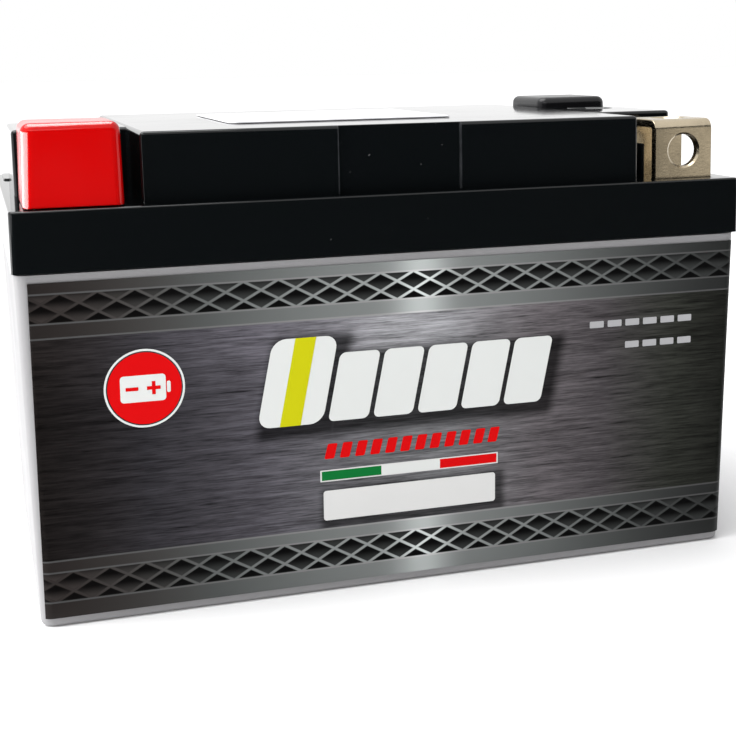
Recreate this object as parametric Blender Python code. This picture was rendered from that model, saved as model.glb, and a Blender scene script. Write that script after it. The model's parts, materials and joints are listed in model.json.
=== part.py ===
"""A 12.8 V lithium iron phosphate motorcycle battery with its inner pack.

Frame: metres, +Z up, +X along the long side, the labelled front faces -Y.
The origin is the centre of the bottom face, on the ground.
Everything below is written in millimetres and scaled once, in new_object().
"""
import math

import bmesh
import bpy
from mathutils import Matrix, Vector

MM = 0.001
GAP = 0.3                       # clearance left between neighbouring pieces

# ---- driving dimensions (mm) ----------------------------------------------------------
LENGTH = 150.0                  # lid, X
WIDTH = 87.0                    # lid, Y
BLOCK_TOP = 94.0                # top of the lid's raised block
SHOULDER = 80.4                 # terminal shoulders of the lid
SKIRT_BOTTOM = 68.8             # lower edge of the lid's skirt
CASE_TOP = 68.5                 # ledge of the case that the skirt meets
DRAFT = 1.7                     # how far each case wall leans in at the bottom
WALL = 2.2                      # case and lid walls
FLOOR = 2.5                     # case floor

CASE_INSET = (0.35, 0.4)        # case face behind the lid's face at CASE_TOP, in X and Y
CASE_CORNER = 2.5               # vertical corners of the case
LID_CORNER = 1.2                # vertical corners of the lid
SKIRT_WALL = 1.2                # thin part of the skirt, outside the case's rim
RIM_TOP = 75.5                  # rim of the case inside the skirt
PLATE = 2.5                     # thickness of the lid's shoulder plate

BLOCK_X = (-50.5, 52.4)         # raised centre block of the lid
BLOCK_SET_BACK = 2.6            # block face behind the skirt face, front and back
PANEL_X = (-12.2, 13.1)         # recessed panel in the block's front face
PANEL_DEPTH = 0.5
TOWER_X = 72.9                  # outer face of the side towers
TOWER_DEPTH = (27.0, 60.0)      # front and back of the side towers, from the lid's front
TOWER_TOP = 93.8
POCKET_R = 5.0                  # round recess in the top of each tower
POCKET_X = 62.8
POCKET_Y = 5.0
POCKET_DEPTH = 6.0
TOWER_HOLLOW_TOP = 85.5         # underside of the material below the recess

TERMINAL_X = (56.8, 70.2)       # bent plate terminal, mirrored for the positive side
TERMINAL_LENGTH = 14.5
TERMINAL_FRONT = 3.5            # front face of the terminal, from the lid's front
TERMINAL_TOP = 93.0
TERMINAL_PLATE = 1.7
TERMINAL_FOOT = 74.1            # underside of the foot inside the case
TERMINAL_HOLE_R = 3.4
TERMINAL_HOLE_Z = 86.4

CAP_X = (53.8, 72.3)            # terminal cap, mirrored for the positive side
CAP_FRONT = 0.8
CAP_LENGTH = 20.0
CAP_BOTTOM = 80.7
CAP_TOP = 96.2
CAP_WALL = 1.2
REAR_SHIFT = (1.0, 59.6)        # from the front negative terminal to the rear one, X and Y

CELL_R = 13.1                   # 26650 cell with its sleeve
CELL_LENGTH = 65.2
CELL_PITCH = (27.0, 27.2)
CELL_BOTTOM = 4.9
COLUMNS = (-1.5, -0.5, 0.5, 1.5)
HOLDER_THICK = 6.0
BUSBAR_THICK = 0.5
SENSE_TAB_Y = 30.4              # how far the bottom busbars' sense tabs reach

BOARD_Z = (78.2, 79.8)
BOARD_HALF = (44.0, 27.0)

LABEL_GAP = 0.1                 # glue line under each label
LABEL_THICK = 0.2
LABEL_Z = (1.9, 67.0)

FRONT = -WIDTH / 2              # Y of the lid's front face

COLOURS = {                     # base colour, metallic, roughness
    "case_grey": ((0.36, 0.355, 0.36), 0.0, 0.42),
    "gloss_black": ((0.012, 0.013, 0.015), 0.0, 0.16),
    "cap_red": ((0.62, 0.005, 0.005), 0.0, 0.25),
    "cap_black": ((0.02, 0.02, 0.022), 0.0, 0.3),
    "nickel": ((0.58, 0.53, 0.45), 1.0, 0.28),
    "copper": ((0.72, 0.36, 0.2), 1.0, 0.3),
    "cell_sleeve": ((0.03, 0.12, 0.35), 0.0, 0.35),
    "holder": ((0.05, 0.05, 0.055), 0.0, 0.5),
    "foam": ((0.09, 0.09, 0.095), 0.0, 0.95),
    "fish_paper": ((0.3, 0.33, 0.24), 0.0, 0.8),
    "board_green": ((0.01, 0.12, 0.04), 0.0, 0.35),
    "chip_black": ((0.02, 0.02, 0.02), 0.0, 0.4),
    "connector_white": ((0.8, 0.79, 0.74), 0.0, 0.4),
    "wire_red": ((0.6, 0.02, 0.02), 0.0, 0.45),
    "seal_rubber": ((0.02, 0.02, 0.02), 0.0, 0.7),
    "sealant": ((0.12, 0.12, 0.12), 0.0, 0.5),
    "label_charcoal": ((0.06, 0.06, 0.065), 0.3, 0.4),
    "label_white": ((0.75, 0.75, 0.75), 0.0, 0.4),
}


# ---- scene helpers ----------------------------------------------------------------------
def clear_scene():
    for obj in list(bpy.data.objects):
        bpy.data.objects.remove(obj, do_unlink=True)


def material(name):
    found = bpy.data.materials.get(name)
    if found:
        return found
    colour, metallic, roughness = COLOURS[name]
    made = bpy.data.materials.new(name)
    made.use_nodes = True
    shader = made.node_tree.nodes["Principled BSDF"]
    shader.inputs["Base Color"].default_value = (*colour, 1.0)
    shader.inputs["Metallic"].default_value = metallic
    shader.inputs["Roughness"].default_value = roughness
    return made


def new_object(name, bm, finish, at=(0.0, 0.0, 0.0)):
    """Turn a bmesh in millimetres into an object placed at a point in millimetres."""
    bmesh.ops.scale(bm, vec=(MM, MM, MM), verts=bm.verts)
    bmesh.ops.recalc_face_normals(bm, faces=bm.faces)
    mesh = bpy.data.meshes.new(name)
    bm.to_mesh(mesh)
    bm.free()
    mesh.shade_smooth()
    mesh.set_sharp_from_angle(angle=math.radians(35))
    mesh.materials.append(material(finish))
    obj = bpy.data.objects.new(name, mesh)
    obj.location = Vector(at) * MM
    bpy.context.scene.collection.objects.link(obj)
    return obj


def copy_object(source, name, at):
    obj = bpy.data.objects.new(name, source.data)
    obj.location = Vector(at) * MM
    bpy.context.scene.collection.objects.link(obj)
    return obj


def guide(obj):
    """Mark an object as a cutter or as stock that is joined into another piece."""
    obj.hide_render = True
    obj.display_type = "WIRE"
    return obj


def combine(target, other, operation):
    step = target.modifiers.new(other.name, "BOOLEAN")
    step.operation = operation
    step.solver = "EXACT"
    step.object = guide(other)


# ---- shape helpers ----------------------------------------------------------------------
def rounded_ring(bm, z, x0, x1, y0, y1, radius, steps):
    """Vertices of a rounded rectangle at height z, counter-clockwise from above."""
    ring = []
    corners = ((x1, y1, 0), (x0, y1, 90), (x0, y0, 180), (x1, y0, 270))
    for x, y, start in corners:
        cx = x - math.copysign(radius, math.cos(math.radians(start + 45)))
        cy = y - math.copysign(radius, math.sin(math.radians(start + 45)))
        for i in range(steps + 1):
            angle = math.radians(start + 90 * i / steps)
            ring.append(bm.verts.new((cx + radius * math.cos(angle), cy + radius * math.sin(angle), z)))
    return ring


def circle_ring(bm, z, radius, segments):
    angles = [2 * math.pi * i / segments for i in range(segments)]
    return [bm.verts.new((radius * math.cos(a), radius * math.sin(a), z)) for a in angles]


def skin(bm, rings):
    """Join a stack of equal rings with quads and close both ends."""
    for low, high in zip(rings, rings[1:]):
        count = len(low)
        for i in range(count):
            j = (i + 1) % count
            bm.faces.new((low[i], low[j], high[j], high[i]))
    bm.faces.new(rings[0])
    bm.faces.new(rings[-1])


def box_loft(levels, steps=3):
    """A solid through rounded rectangles, each (z, x0, x1, y0, y1, corner radius)."""
    bm = bmesh.new()
    skin(bm, [rounded_ring(bm, *level, steps) for level in levels])
    return bm


def frame_loft(levels, steps=3):
    """A closed ring of material: the last rectangle joins back to the first one."""
    bm = bmesh.new()
    rings = [rounded_ring(bm, *level, steps) for level in levels]
    count = len(rings[0])
    for low, high in zip(rings, rings[1:] + rings[:1]):
        for i in range(count):
            j = (i + 1) % count
            bm.faces.new((low[i], low[j], high[j], high[i]))
    return bm


def fillet_levels(z_top, box, corner, fillet, steps=3):
    """Levels that round the top edge of a rounded box over the last fillet of height."""
    x0, x1, y0, y1 = box
    levels = []
    for i in range(steps + 1):
        angle = math.pi / 2 * i / steps
        inset = fillet * (1 - math.cos(angle))
        z = z_top - fillet + fillet * math.sin(angle)
        levels.append((z, x0 + inset, x1 - inset, y0 + inset, y1 - inset, max(corner - inset, 0.15)))
    return levels


def block(z0, z1, box, corner=0.5, fillet=0.4, steps=2):
    """A rounded box with its top edge rounded too."""
    levels = [(z0, *box, corner)] + fillet_levels(z1, box, corner, fillet, steps)
    return box_loft(levels, steps)


def plain_box(x0, x1, y0, y1, z0, z1):
    bm = bmesh.new()
    bmesh.ops.create_cube(bm, size=1.0)
    bmesh.ops.scale(bm, vec=(x1 - x0, y1 - y0, z1 - z0), verts=bm.verts)
    bmesh.ops.translate(bm, vec=((x0 + x1) / 2, (y0 + y1) / 2, (z0 + z1) / 2), verts=bm.verts)
    return bm


def turned(profile, segments=32):
    """A solid of revolution about Z through (z, radius) pairs, closed at both ends."""
    bm = bmesh.new()
    skin(bm, [circle_ring(bm, z, r, segments) for z, r in profile])
    return bm


def bent_path(corners, radius, steps=4):
    """Points of a 2-D path whose inner corners are rounded by arcs of the given radius."""
    points = [Vector(corners[0])]
    for before, here, after in zip(corners, corners[1:], corners[2:]):
        here = Vector(here)
        to_before = (Vector(before) - here).normalized()
        to_after = (Vector(after) - here).normalized()
        half = to_before.angle(to_after) / 2
        reach = radius / math.tan(half)
        centre = here + (to_before + to_after).normalized() * (radius / math.sin(half))
        start = here + to_before * reach - centre
        end = here + to_after * reach - centre
        sweep = start.angle_signed(end)
        for i in range(steps + 1):
            turn = -sweep * i / steps
            cos_t, sin_t = math.cos(turn), math.sin(turn)
            arm = Vector((start.x * cos_t - start.y * sin_t, start.x * sin_t + start.y * cos_t))
            points.append(centre + arm)
    points.append(Vector(corners[-1]))
    return points


def bent_strip(corners, radius, thick, low, high, plane):
    """A bent plate: a path in XZ or YZ, thickened and extruded from low to high across it."""
    path = bent_path(corners, radius)
    left, right = [], []
    for i, here in enumerate(path):
        before = path[max(i - 1, 0)]
        after = path[min(i + 1, len(path) - 1)]
        along = (after - before).normalized()
        side = Vector((-along.y, along.x)) * thick / 2
        left.append(here + side)
        right.append(here - side)
    outline = left + right[::-1]
    bm = bmesh.new()

    def place(point, across):
        if plane == "XZ":
            return (point.x, across, point.y)
        return (across, point.x, point.y)

    rings = [[bm.verts.new(place(p, across)) for p in outline] for across in (low, high)]
    count = len(path)
    total = 2 * count
    for i in range(total):
        j = (i + 1) % total
        bm.faces.new((rings[0][i], rings[0][j], rings[1][j], rings[1][i]))
    for ring in rings:
        for i in range(count - 1):
            bm.faces.new((ring[i], ring[i + 1], ring[total - 2 - i], ring[total - 1 - i]))
    return bm


def wire(name, route, radius, finish):
    """A round lead along a smooth curve through a few hand-set points (mm)."""
    samples = []
    ends = [route[0]] + list(route) + [route[-1]]
    for p0, p1, p2, p3 in zip(ends, ends[1:], ends[2:], ends[3:]):
        a, b, c, d = (Vector(p) for p in (p0, p1, p2, p3))
        for i in range(3):
            t = i / 3
            samples.append(0.5 * ((2 * b) + (c - a) * t + (2 * a - 5 * b + 4 * c - d) * t * t
                                  + (3 * b - a - 3 * c + d) * t ** 3))
    samples.append(Vector(route[-1]))
    curve = bpy.data.curves.new(name, "CURVE")
    curve.dimensions = "3D"
    curve.bevel_depth = radius * MM
    curve.bevel_resolution = 1
    curve.render_resolution_u = 0
    curve.use_fill_caps = True
    spline = curve.splines.new("POLY")
    spline.points.add(len(samples) - 1)
    for point, sample in zip(spline.points, samples):
        point.co = (*(sample * MM), 1.0)
    curve.materials.append(material(finish))
    obj = bpy.data.objects.new(name, curve)
    bpy.context.scene.collection.objects.link(obj)
    return obj


# ---- case -------------------------------------------------------------------------------
def case_half(z):
    """Half sizes of the case's outer faces at height z."""
    lean = DRAFT * (CASE_TOP - z) / CASE_TOP
    return LENGTH / 2 - CASE_INSET[0] - lean, WIDTH / 2 - CASE_INSET[1] - lean


def case_level(z, inset, corner):
    hx, hy = case_half(min(z, CASE_TOP))
    return (z, -hx + inset, hx - inset, -hy + inset, hy - inset, corner)


def make_case():
    foot = 1.0
    levels = []
    for angle in (90, 60, 30, 0):
        inset = foot * (1 - math.cos(math.radians(angle)))
        z = foot * (1 - math.sin(math.radians(angle)))
        levels.append(case_level(z, inset, CASE_CORNER - inset))
    levels.append(case_level(CASE_TOP, 0.0, CASE_CORNER))
    rim = SKIRT_WALL + GAP - CASE_INSET[0]
    levels.append(case_level(CASE_TOP, rim, CASE_CORNER - rim))
    levels.append(case_level(RIM_TOP, rim, CASE_CORNER - rim))
    levels.append(case_level(RIM_TOP, WALL, 0.6))
    levels.append(case_level(CASE_TOP, WALL, 0.6))
    levels.append(case_level(FLOOR + 1.0, WALL, 0.6))
    levels.append(case_level(FLOOR + 0.3, WALL + 0.2, 0.4))
    levels.append(case_level(FLOOR, WALL + 0.8, 0.3))
    new_object("case", box_loft(levels, 4), "case_grey")


# ---- lid --------------------------------------------------------------------------------
def lid_outer_box():
    return (-LENGTH / 2, LENGTH / 2, -WIDTH / 2, WIDTH / 2)


def block_box():
    return (*BLOCK_X, FRONT + BLOCK_SET_BACK, -FRONT - BLOCK_SET_BACK)


def tower_box(side):
    y0, y1 = FRONT + TOWER_DEPTH[0], FRONT + TOWER_DEPTH[1]
    inner = 40.0
    return (-TOWER_X, -inner, y0, y1) if side < 0 else (inner, TOWER_X, y0, y1)


def shrink(box, amount):
    x0, x1, y0, y1 = box
    return (x0 + amount, x1 - amount, y0 + amount, y1 - amount)


def terminal_slots():
    """Slots that the terminal legs pass through or stand in, one pair for each terminal."""
    slots = []
    outer_leg = TERMINAL_FRONT
    inner_leg = TERMINAL_FRONT + TERMINAL_LENGTH - TERMINAL_PLATE
    blind = SHOULDER - 1.3
    through = SHOULDER - PLATE - 2.0
    for side, shift_x, shift_y in ((-1, 0.0, 0.0), (1, 0.0, 0.0), (1, *REAR_SHIFT)):
        near = side * (TERMINAL_X[0] - GAP) + shift_x
        far = side * (TERMINAL_X[1] + GAP) + shift_x
        legs = ((outer_leg, blind), (inner_leg, through))
        if shift_y:
            legs = ((inner_leg, blind), (outer_leg, through))
        for depth, z0 in legs:
            y = FRONT + shift_y + depth
            slots.append((min(near, far), max(near, far), y - GAP, y + TERMINAL_PLATE + GAP,
                          z0, SHOULDER + 2.0))
    return slots


def joined_boxes(boxes):
    bm = bmesh.new()
    for box in boxes:
        piece = plain_box(*box)
        mesh = bpy.data.meshes.new("slot")
        piece.to_mesh(mesh)
        piece.free()
        bm.from_mesh(mesh)
        bpy.data.meshes.remove(mesh)
    return bm


def make_lid():
    levels = [(SKIRT_BOTTOM, *lid_outer_box(), LID_CORNER)]
    levels += fillet_levels(SHOULDER, lid_outer_box(), LID_CORNER, 0.5)
    lid = new_object("lid", box_loft(levels, 4), "gloss_black")

    centre = new_object("lid_centre_stock", block(79.0, BLOCK_TOP, block_box(), 0.8, 0.8, 3), "gloss_black")
    panel = plain_box(*PANEL_X, FRONT, FRONT + BLOCK_SET_BACK + PANEL_DEPTH, 78.0, BLOCK_TOP + 1.0)
    combine(centre, new_object("panel_cutter", panel, "gloss_black"), "DIFFERENCE")
    combine(lid, centre, "UNION")

    for side, word in ((-1, "left"), (1, "right")):
        tower = block(79.2, TOWER_TOP, tower_box(side), 1.0, 0.8, 3)
        combine(lid, new_object(f"{word}_tower_stock", tower, "gloss_black"), "UNION")
        pocket = turned(((TOWER_TOP - POCKET_DEPTH, POCKET_R - 0.2), (TOWER_TOP - 0.5, POCKET_R),
                         (TOWER_TOP + 1.0, POCKET_R + 1.5)))
        at = (side * POCKET_X, POCKET_Y, 0)
        combine(lid, new_object(f"{word}_pocket_cutter", pocket, "gloss_black", at), "DIFFERENCE")

    # a thin raised pad on the rear left shoulder
    pad_box = (-LENGTH / 2 + 1.2, -49.0, -FRONT - 17.5, -FRONT - 1.2)
    pad = block(79.4, SHOULDER + 0.35, pad_box, 1.0, 0.2)
    combine(lid, new_object("rear_pad_stock", pad, "gloss_black"), "UNION")

    # ribs beside the terminals, which the caps push on to
    for word, side, shift_x, y in (("front_left", -1, 0.0, FRONT + 7.0),
                                   ("front_right", 1, 0.0, FRONT + 7.0),
                                   ("rear_right", 1, REAR_SHIFT[0], FRONT + REAR_SHIFT[1] + 6.0)):
        near, far = side * 55.3 + shift_x, side * 56.2 + shift_x
        rib = block(79.6, 87.9, (min(near, far), max(near, far), y, y + 8.0), 0.25, 0.3)
        combine(lid, new_object(f"{word}_rib_stock", rib, "gloss_black"), "UNION")

    inside = shrink(lid_outer_box(), SKIRT_WALL)
    hollow = box_loft([(SKIRT_BOTTOM - 2.0, *inside, 0.6), (SHOULDER - PLATE, *inside, 0.6)], 3)
    combine(lid, new_object("skirt_hollow_cutter", hollow, "gloss_black"), "DIFFERENCE")
    hollow = box_loft([(SHOULDER - PLATE - 1.0, *shrink(block_box(), WALL), 1.0),
                       (BLOCK_TOP - WALL, *shrink(block_box(), WALL + 0.3), 1.0)], 3)
    combine(lid, new_object("block_hollow_cutter", hollow, "gloss_black"), "DIFFERENCE")
    for side, word in ((-1, "left"), (1, "right")):
        x0, x1, y0, y1 = tower_box(side)
        x0, x1 = (x0, -54.6) if side < 0 else (54.6, x1)
        core = shrink((x0, x1, y0, y1), WALL)
        hollow = box_loft([(SHOULDER - PLATE - 1.0, *core, 1.0), (TOWER_HOLLOW_TOP, *core, 1.0)], 3)
        combine(lid, new_object(f"{word}_tower_hollow_cutter", hollow, "gloss_black"), "DIFFERENCE")
    slots = joined_boxes(terminal_slots())
    combine(lid, new_object("terminal_slot_cutter", slots, "gloss_black"), "DIFFERENCE")

    # bead of sealant between the case's rim and the lid
    rim = case_level(CASE_TOP, SKIRT_WALL + GAP - CASE_INSET[0], 0.0)[1:5]
    inner = case_level(CASE_TOP, WALL, 0.0)[1:5]
    z0, z1 = RIM_TOP + GAP, SHOULDER - PLATE - GAP
    bead = frame_loft([(z0, *inner, 0.6), (z1, *inner, 0.6), (z1, *rim, 1.2), (z0, *rim, 1.2)])
    new_object("lid_sealant", bead, "sealant")


# ---- terminals and caps -----------------------------------------------------------------
def terminal_mesh(toward_rear):
    """The bent plate about x = 0, y = 0 at its front face; its foot points to the inside."""
    half = TERMINAL_PLATE / 2
    depth = TERMINAL_LENGTH
    corners = [(half, SHOULDER - 1.0), (half, TERMINAL_TOP - half), (depth - half, TERMINAL_TOP - half),
               (depth - half, TERMINAL_FOOT + half), (depth + 9.0, TERMINAL_FOOT + half)]
    if not toward_rear:
        corners = [(depth - y, z) for y, z in corners]
    width = TERMINAL_X[1] - TERMINAL_X[0]
    return bent_strip(corners, 1.35, TERMINAL_PLATE, -width / 2, width / 2, "YZ")


def make_terminal(name, side, shift_x, shift_y):
    rear = shift_y > 0.0
    centre_x = side * (TERMINAL_X[0] + TERMINAL_X[1]) / 2 + shift_x
    front_y = FRONT + TERMINAL_FRONT + shift_y
    terminal = new_object(name, terminal_mesh(not rear), "nickel", (centre_x, front_y, 0))
    edge = terminal.modifiers.new("edges", "BEVEL")
    edge.width = 0.25 * MM
    edge.segments = 2
    edge.limit_method = "ANGLE"
    edge.angle_limit = math.radians(60)

    r = TERMINAL_HOLE_R
    profile = ((-TERMINAL_PLATE - 1.0, r), (-0.4, r), (0.6, r + 1.0))
    face_y = front_y + (TERMINAL_LENGTH if rear else 0.0)
    face_hole = new_object(f"{name}_face_hole", turned(profile), "nickel",
                           (centre_x, face_y, TERMINAL_HOLE_Z))
    face_hole.rotation_euler = (math.radians(-90 if rear else 90), 0, 0)
    combine(terminal, face_hole, "DIFFERENCE")
    top_hole = new_object(f"{name}_top_hole", turned(profile), "nickel",
                          (centre_x, front_y + TERMINAL_LENGTH / 2, TERMINAL_TOP))
    combine(terminal, top_hole, "DIFFERENCE")


def make_terminal_seal(name, side, shift_x, depth):
    """A rubber seal under the lid, around the terminal leg at this depth."""
    middle = side * (TERMINAL_X[0] + TERMINAL_X[1]) / 2 + shift_x
    half = (TERMINAL_X[1] - TERMINAL_X[0]) / 2
    y = FRONT + depth + TERMINAL_PLATE / 2
    z0, z1 = SHOULDER - PLATE - 1.5, SHOULDER - PLATE - GAP
    outer = (middle - half - 1.0, middle + half + 1.0, y - 2.6, y + 2.6)
    hole = (middle - half - 0.3, middle + half + 0.3, y - 1.15, y + 1.15)
    seal = frame_loft([(z0, *hole, 0.2), (z1, *hole, 0.2), (z1, *outer, 0.8), (z0, *outer, 0.8)], 2)
    new_object(name, seal, "seal_rubber")


def make_terminals():
    inner_leg = TERMINAL_FRONT + TERMINAL_LENGTH - TERMINAL_PLATE
    make_terminal("positive_terminal", -1, 0.0, 0.0)
    make_terminal("front_negative_terminal", 1, 0.0, 0.0)
    make_terminal("rear_negative_terminal", 1, *REAR_SHIFT)
    make_terminal_seal("positive_terminal_seal", -1, 0.0, inner_leg)
    make_terminal_seal("front_negative_terminal_seal", 1, 0.0, inner_leg)
    make_terminal_seal("rear_negative_terminal_seal", 1, REAR_SHIFT[0], REAR_SHIFT[1] + TERMINAL_FRONT)


def cap_mesh():
    """An open-bottomed cap about the middle of its footprint, with z as in the battery."""
    hx = (CAP_X[1] - CAP_X[0]) / 2
    hy = CAP_LENGTH / 2
    lean = 0.25
    top = CAP_TOP
    outer_top = (-hx + lean, hx - lean, -hy + lean, hy - lean)
    inner_low = (-hx + CAP_WALL, hx - CAP_WALL, -hy + CAP_WALL, hy - CAP_WALL)
    inner_top = shrink(inner_low, lean)
    levels = [(top - 1.5, *inner_top, 0.6), (CAP_BOTTOM, *inner_low, 0.6)]
    levels.append((CAP_BOTTOM, -hx + 0.2, hx - 0.2, -hy + 0.2, hy - 0.2, 1.2))
    levels.append((CAP_BOTTOM + 0.3, -hx, hx, -hy, hy, 1.9))
    levels += fillet_levels(top, outer_top, 2.1, 1.7, 5)
    return box_loft(levels, 5)


def make_caps():
    middle_x = (CAP_X[0] + CAP_X[1]) / 2
    middle_y = FRONT + CAP_FRONT + CAP_LENGTH / 2
    new_object("positive_cap", cap_mesh(), "cap_red", (-middle_x, middle_y, 0))
    new_object("negative_cap", cap_mesh(), "cap_black",
               (middle_x + REAR_SHIFT[0], middle_y + REAR_SHIFT[1], 0))


# ---- labels -----------------------------------------------------------------------------
def label_outline(z, x0, x1, offset):
    """Points of the case's front face at height z, offset outwards, round both corners."""
    hx, hy = case_half(z)
    flat = hx - CASE_CORNER
    radius = CASE_CORNER + offset
    points = []
    for side, end in ((-1, -x0), (1, x1)):
        reach = max(end - flat, 0.0)
        last = math.asin(min(reach / CASE_CORNER, 1.0))
        arc = []
        for i in range(5):
            angle = last * i / 4
            arc.append((side * (flat + radius * math.sin(angle)),
                        -hy + CASE_CORNER - radius * math.cos(angle)))
        points += arc[::-1] if side < 0 else arc
    return points


def make_side_label(name, x0_top, x0_low, x1_top, x1_low, finish, back):
    bm = bmesh.new()
    sheets = []
    for offset in (LABEL_GAP, LABEL_GAP + LABEL_THICK):
        rows = []
        for z, x0, x1 in ((LABEL_Z[0], x0_low, x1_low), (LABEL_Z[1], x0_top, x1_top)):
            rows.append([bm.verts.new((x, y, z)) for x, y in label_outline(z, x0, x1, offset)])
        sheets.append(rows)
    count = len(sheets[0][0])
    for rows in sheets:
        for i in range(count - 1):
            bm.faces.new((rows[0][i], rows[0][i + 1], rows[1][i + 1], rows[1][i]))
    inner, outer = sheets
    for row in (0, 1):
        for i in range(count - 1):
            bm.faces.new((inner[row][i], inner[row][i + 1], outer[row][i + 1], outer[row][i]))
    for i in (0, count - 1):
        bm.faces.new((inner[0][i], inner[1][i], outer[1][i], outer[0][i]))
    if back:
        bmesh.ops.rotate(bm, verts=bm.verts, cent=(0, 0, 0), matrix=Matrix.Rotation(math.pi, 3, "Z"))
    new_object(name, bm, finish)


def make_labels():
    make_side_label("front_label", -72.3, -72.0, 73.5, 72.5, "label_charcoal", False)
    make_side_label("back_label", -72.3, -72.0, 73.5, 72.5, "label_charcoal", True)
    z = BLOCK_TOP + LABEL_GAP
    top = box_loft([(z, -30.0, 18.0, -22.0, 22.0, 2.0), (z + LABEL_THICK, -30.0, 18.0, -22.0, 22.0, 2.0)])
    new_object("top_label", top, "label_white")


# ---- cell pack --------------------------------------------------------------------------
def cell_mesh():
    """One 26650 cell standing on its negative end at z = 0."""
    r = CELL_R
    length = CELL_LENGTH
    return turned(((0.0, r - 1.3), (0.3, r - 0.4), (0.7, r), (length - 3.0, r), (length - 2.6, r - 0.7),
                   (length - 2.0, r - 0.7), (length - 1.6, r - 0.1), (length - 1.1, r - 0.4),
                   (length - 1.0, 7.0), (length - 0.5, 6.2), (length, 5.6)))


def cell_places():
    """(name, x, y, inverted) of the eight cells: four groups of two in parallel."""
    places = []
    for group, column in enumerate(COLUMNS, start=1):
        for row, word in ((-0.5, "front"), (0.5, "back")):
            places.append((f"cell_{group}_{word}", column * CELL_PITCH[0], row * CELL_PITCH[1],
                           group % 2 == 0))
    return places


def make_cells():
    source = None
    for name, x, y, inverted in cell_places():
        if source is None:
            source = new_object(name, cell_mesh(), "cell_sleeve", (x, y, CELL_BOTTOM))
            cell = source
        else:
            cell = copy_object(source, name, (x, y, CELL_BOTTOM))
        if inverted:
            cell.rotation_euler = (math.pi, 0, 0)
            cell.location.z = (CELL_BOTTOM + CELL_LENGTH) * MM


def make_holder(name, z0):
    hx = 1.5 * CELL_PITCH[0] + CELL_R + 2.1
    hy = 0.5 * CELL_PITCH[1] + CELL_R + 1.8
    z1 = z0 + HOLDER_THICK
    stock = box_loft([(z0, -hx, hx, -hy, hy, 6.0), (z1, -hx, hx, -hy, hy, 6.0)])
    holder = new_object(name, stock, "holder")
    bm = bmesh.new()
    for _, x, y, _ in cell_places():
        rings = [circle_ring(bm, z, CELL_R + 0.2, 32) for z in (z0 - 1, z1 + 1)]
        skin(bm, rings)
        bmesh.ops.translate(bm, vec=(x, y, 0), verts=rings[0] + rings[1])
    combine(holder, new_object(f"{name}_cutter", bm, "holder"), "DIFFERENCE")


def make_busbars():
    top = CELL_BOTTOM + CELL_LENGTH + 0.35
    low = CELL_BOTTOM - 0.3 - BUSBAR_THICK
    px, py = CELL_PITCH
    end = 1.5 * px
    half_y = 0.5 * py + 9.0
    bars = (("positive_busbar", -end - 14.5, -end + 9.0, top),
            ("top_series_busbar", -0.5 * px - 9.0, 0.5 * px + 9.0, top),
            ("negative_busbar", end - 9.0, end + 14.5, top),
            ("left_bottom_busbar", -end - 9.0, -0.5 * px + 9.0, low),
            ("right_bottom_busbar", 0.5 * px - 9.0, end + 9.0, low))
    for name, x0, x1, z in bars:
        bar = box_loft([(z, x0, x1, -half_y, half_y, 3.0),
                        (z + BUSBAR_THICK, x0, x1, -half_y, half_y, 3.0)])
        bar = new_object(name, bar, "copper")
        if z == low:
            # a tab past the cell holder, for the sense lead
            side = 1 if x1 < 0 else -1
            y0, y1 = sorted((side * (half_y - 2.0), side * SENSE_TAB_Y))
            middle = (x0 + x1) / 2
            tab = plain_box(middle - 2.0, middle + 2.0, y0, y1, z, z + BUSBAR_THICK)
            combine(bar, new_object(f"{name}_tab_stock", tab, "copper"), "UNION")


def make_padding():
    z = FLOOR + 0.3
    new_object("bottom_insulator", block(z, z + 0.9, (-57.0, 57.0, -29.5, 29.5), 2.0, 0.2), "fish_paper")
    z = CELL_BOTTOM + CELL_LENGTH + 0.35 + BUSBAR_THICK + 0.3
    new_object("top_insulator", block(z, z + 0.6, (-42.0, 47.5, -22.4, 22.4), 2.0, 0.2), "fish_paper")
    new_object("board_pad", block(z + 0.9, BOARD_Z[0] - 0.3, (-40.5, 43.0, -22.5, 22.5), 2.0, 0.6), "foam")
    new_object("front_foam", block(8.0, 66.0, (-54.0, 54.0, -38.7, -31.2), 2.0, 1.0), "foam")
    new_object("back_foam", block(8.0, 66.0, (-54.0, 54.0, 31.2, 38.7), 2.0, 1.0), "foam")
    new_object("left_foam", block(8.0, 66.0, (-70.2, -57.0, -30.0, 30.0), 2.0, 1.0), "foam")
    new_object("right_foam", block(8.0, 66.0, (57.0, 70.2, -30.0, 30.0), 2.0, 1.0), "foam")
    new_object("lid_pad", block(86.2, 91.4, (-44.0, 44.0, -34.0, 34.0), 2.0, 1.0), "foam")


# ---- battery management board -----------------------------------------------------------
def make_board():
    hx, hy = BOARD_HALF
    board = box_loft([(BOARD_Z[0], -hx, hx, -hy, hy, 2.0), (BOARD_Z[1], -hx, hx, -hy, hy, 2.0)])
    new_object("bms_board", board, "board_green")
    z = BOARD_Z[1] + 0.15
    for i in range(4):
        x = 12.0 + 10.4 * (i % 2)
        y = -8.0 + 16.0 * (i // 2)
        package = block(z, z + 4.3, (x - 4.8, x + 4.8, y - 4.4, y + 4.4), 0.4, 0.4)
        new_object(f"bms_mosfet_{i + 1}", package, "chip_black")
    controller = block(z, z + 1.6, (-21.0, -11.0, -5.0, 5.0), 0.5, 0.3)
    new_object("bms_controller", controller, "chip_black")
    shunt = block(z, z + 1.2, (-2.0, 1.2, -12.0, 12.0), 0.3, 0.3)
    new_object("bms_shunt", shunt, "copper")
    plug = block(z, z + 5.6, (-40.0, -34.0, -9.0, 9.0), 0.6, 0.5)
    new_object("balance_connector", plug, "connector_white")


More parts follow.
